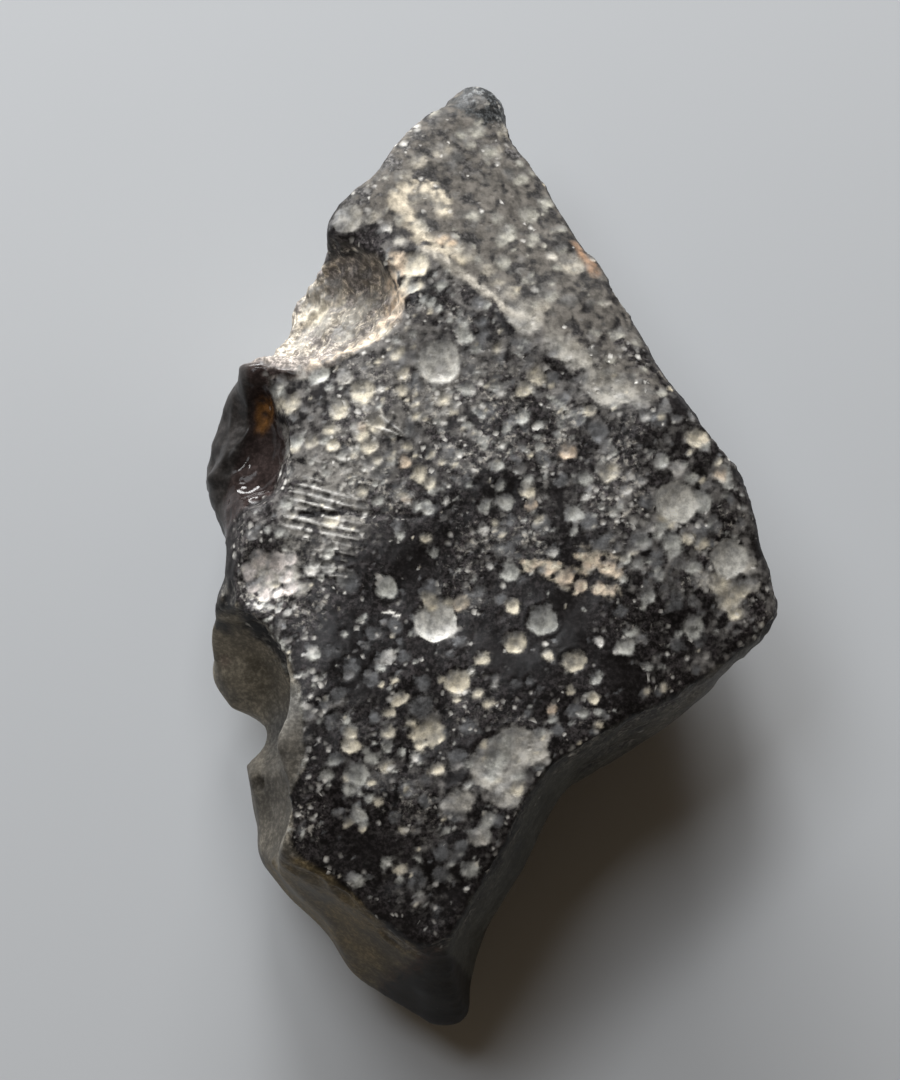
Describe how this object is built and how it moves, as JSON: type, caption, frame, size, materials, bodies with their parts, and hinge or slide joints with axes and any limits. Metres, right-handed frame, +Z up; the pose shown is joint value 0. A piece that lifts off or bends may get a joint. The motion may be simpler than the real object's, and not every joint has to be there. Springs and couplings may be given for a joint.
{
  "type": "philippinite tektite",
  "caption": "Flattened, angular stone of black natural glass with a pitted upper face, smooth broken walls, a scalloped left edge and a flat break to lie on.",
  "frame": {"origin": "centre of the stone's box, on the surface it lies on", "axes": "+Y towards the stone's pointed top, +Z up from the flat break it lies on, +X towards its right corner"},
  "size_m": [0.0242, 0.04, 0.0138],
  "materials": {
    "tektite_glass": "black natural glass, glossy where freshly broken, with pale dust in its pits"
  },
  "bodies": {
    "root": {"tektite": "tektite_glass"}
  },
  "joints": []
}
